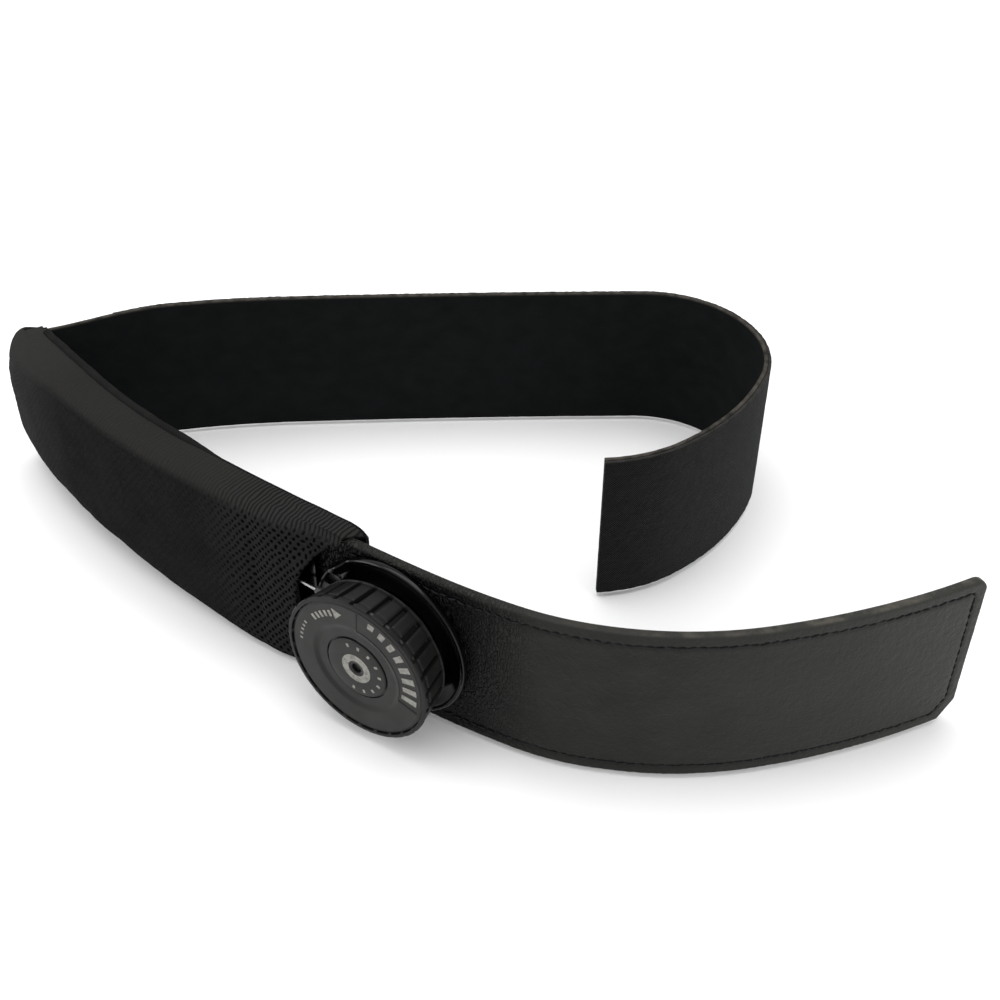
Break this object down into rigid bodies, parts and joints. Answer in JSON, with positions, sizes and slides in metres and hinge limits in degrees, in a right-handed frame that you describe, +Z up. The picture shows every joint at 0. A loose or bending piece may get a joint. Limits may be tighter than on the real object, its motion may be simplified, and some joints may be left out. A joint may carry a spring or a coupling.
{
  "type": "dive weight belt",
  "caption": "Belt with a padded ballast sleeve, a leather closing tab, a ratchet reel dial that draws the belt in by a lace, and a folding hook-and-loop strap.",
  "frame": {"origin": "middle of the belt's box in plan, at the lower edge that it stands on", "axes": "+X along the belt's longest extent, from the fold to the tab's end; +Y from the dial side to the back strap; +Z up across the belt's width"},
  "size_m": [0.2818, 0.1664, 0.0531],
  "materials": {
    "leather": "satin, fine grain",
    "webbing": "woven nylon",
    "lining": "smooth lining cloth",
    "hook_tape": "hook tape",
    "canvas": "coarse plain weave",
    "panel_cloth": "smooth cloth",
    "binding_tape": "ribbed tape",
    "foam": "closed-cell foam",
    "ballast": "shot in a soft pack",
    "gloss_plastic": "glossy",
    "nylon": "moulded nylon",
    "guide_liner": "smooth liner",
    "acetal": "acetal",
    "stainless_steel": "plain",
    "grip_rubber": "soft-touch plastic",
    "face_plastic": "satin",
    "badge_plastic": "satin",
    "lace_wire": "stranded wire",
    "strap_webbing": "smooth knitted band",
    "loop_pile": "loop pile"
  },
  "bodies": {
    "root": {"leather_face": "leather", "core_webbing": "webbing", "tab_lining": "lining", "hook_patch": "hook_tape", "sleeve_front_cover": "canvas", "sleeve_back_panel": "panel_cloth", "top_binding": "binding_tape", "sleeve_foam": "foam", "ballast_pack_1": "ballast", "ballast_pack_2": "ballast", "ballast_pack_3": "ballast", "ballast_pack_4": "ballast", "reel_base": "gloss_plastic", "reel_housing": "nylon", "lace_guide_upper": "guide_liner", "lace_guide_lower": "guide_liner", "axle_screw": "stainless_steel", "axle_washer": "stainless_steel", "lace": "lace_wire"},
    "spool": {"spool": "nylon"},
    "knob": {"ratchet_disc": "acetal", "knob_spring": "stainless_steel", "knob_core": "nylon", "knob_grip": "grip_rubber", "knob_face": "face_plastic", "center_badge": "badge_plastic"},
    "anchor": {"anchor_plate": "nylon"},
    "strap": {"strap_root": "webbing", "back_strap": "strap_webbing", "loop_pile": "loop_pile"}
  },
  "joints": [
    {"name": "dial_turn", "type": "hinge", "parent": "root", "child": "spool", "pos_m": [-0.01209, -0.05625, 0.0261], "axis": [0.5446, 0.8387, 0], "range_deg": [0, 313]},
    {"name": "knob_lift", "type": "slide", "parent": "spool", "child": "knob", "axis": [-0.5446, -0.8387, 0], "range_m": [0, 0.002], "stiffness_N_per_m": 500, "springref_m": -0.002, "deforming": ["knob_spring"]},
    {"name": "take_up", "type": "slide", "parent": "root", "child": "anchor", "axis": [0.5736, -0.8192, 0], "range_m": [0, 0.02], "deforming": ["sleeve_front_cover", "sleeve_back_panel", "top_binding", "sleeve_foam", "lace"]},
    {"name": "strap_fold", "type": "hinge", "parent": "anchor", "child": "strap", "pos_m": [-0.13608, 0.05752, 0.0261], "axis": [0, 0, 1], "range_deg": [-8, 90]}
  ],
  "couplings": [
    {"joint": "take_up", "follows": "dial_turn", "m_per_rad": 0.00365}
  ]
}
